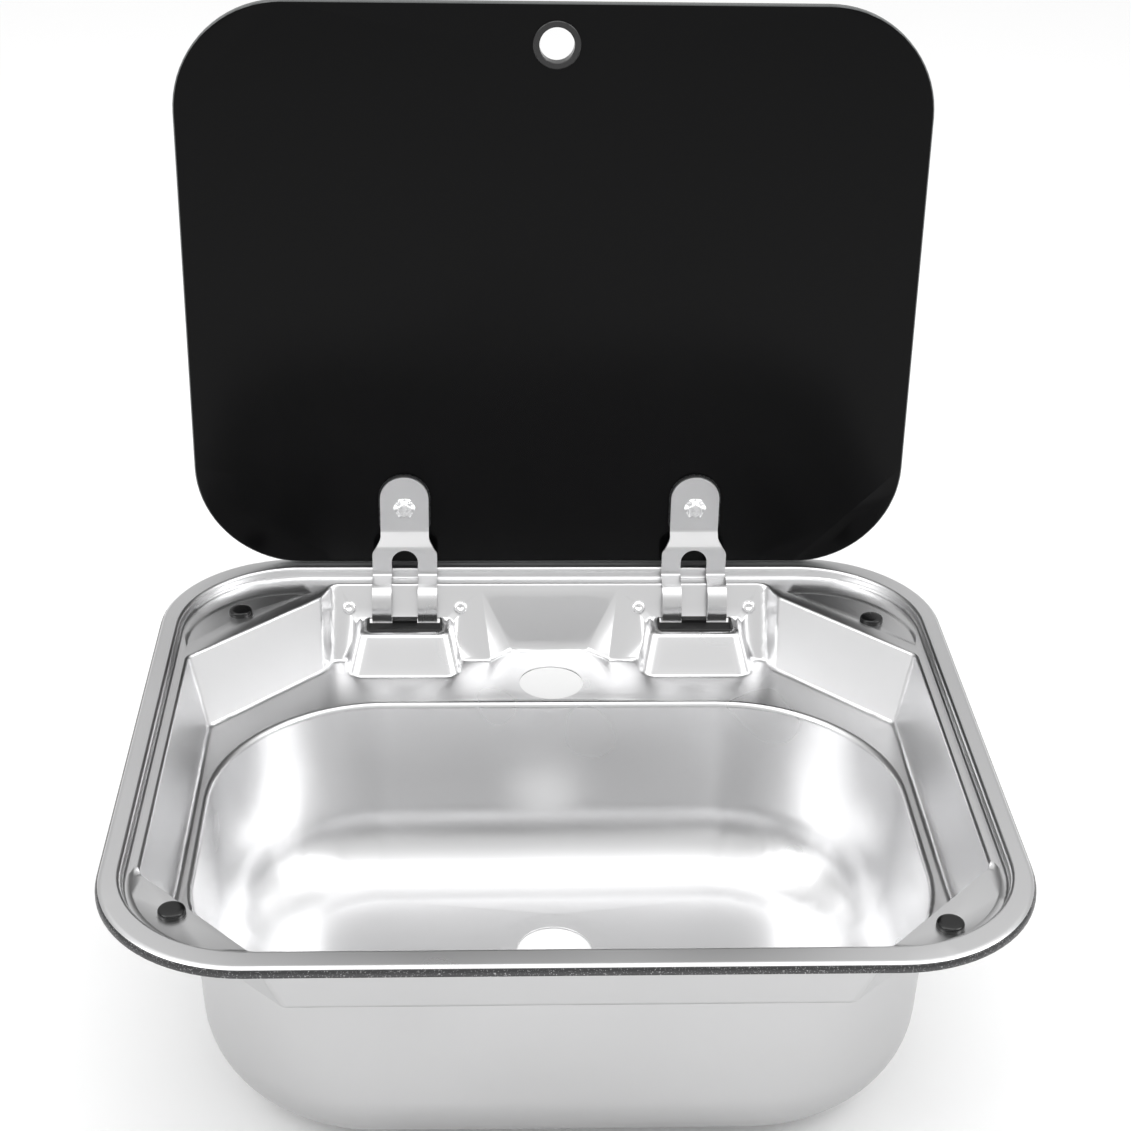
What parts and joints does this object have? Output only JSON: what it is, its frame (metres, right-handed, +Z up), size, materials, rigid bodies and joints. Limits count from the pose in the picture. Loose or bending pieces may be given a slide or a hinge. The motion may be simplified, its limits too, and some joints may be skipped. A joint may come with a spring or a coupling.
{
  "type": "built-in sink with hinged glass lid",
  "caption": "Rectangular built-in sink of pressed stainless steel, with a deep bowl, a tap deck and a dark glass lid that folds down on rear hinges into the rim.",
  "frame": {"origin": "centre of the worktop cut-out, on the worktop's surface, where the folded rim rests", "axes": "+Z up, +Y to the rear where the lid is hinged, +X to the right seen from the front"},
  "size_m": [0.42, 0.378, 0.4578],
  "materials": {
    "stainless": "satin pressed stainless",
    "arm_steel": "polished stainless strip",
    "bright_steel": "bright plated",
    "dark_glass": "polished tempered glass",
    "black_plastic": "satin",
    "liner_plastic": "matt",
    "black_rubber": "smooth"
  },
  "bodies": {
    "sink": {"sink_shell": "stainless", "hinge_bracket_left": "arm_steel", "hinge_bracket_right": "arm_steel", "hinge_pins": "bright_steel", "pin_clips": "bright_steel", "spacer_sleeves": "black_plastic", "friction_washers": "black_plastic", "bracket_rivets": "bright_steel", "slot_liner_left": "liner_plastic", "slot_liner_right": "liner_plastic", "bumper_front_left": "black_rubber", "bumper_front_right": "black_rubber", "bumper_rear_left": "black_rubber", "bumper_rear_right": "black_rubber"},
    "lid": {"glass_lid": "dark_glass", "finger_grommet": "black_plastic", "hinge_arm_left": "arm_steel", "hinge_arm_right": "arm_steel", "arm_gasket_left": "black_rubber", "arm_gasket_right": "black_rubber", "star_washers": "bright_steel", "lid_screws": "bright_steel", "glass_bushes": "black_plastic", "outer_washers": "black_rubber", "cap_nuts": "bright_steel"}
  },
  "joints": [
    {"name": "lid_hinge", "type": "hinge", "parent": "sink", "child": "lid", "pos_m": [0, 0.16328, -0.01315], "axis": [1, 0, 0], "range_deg": [0, 91.8]}
  ]
}
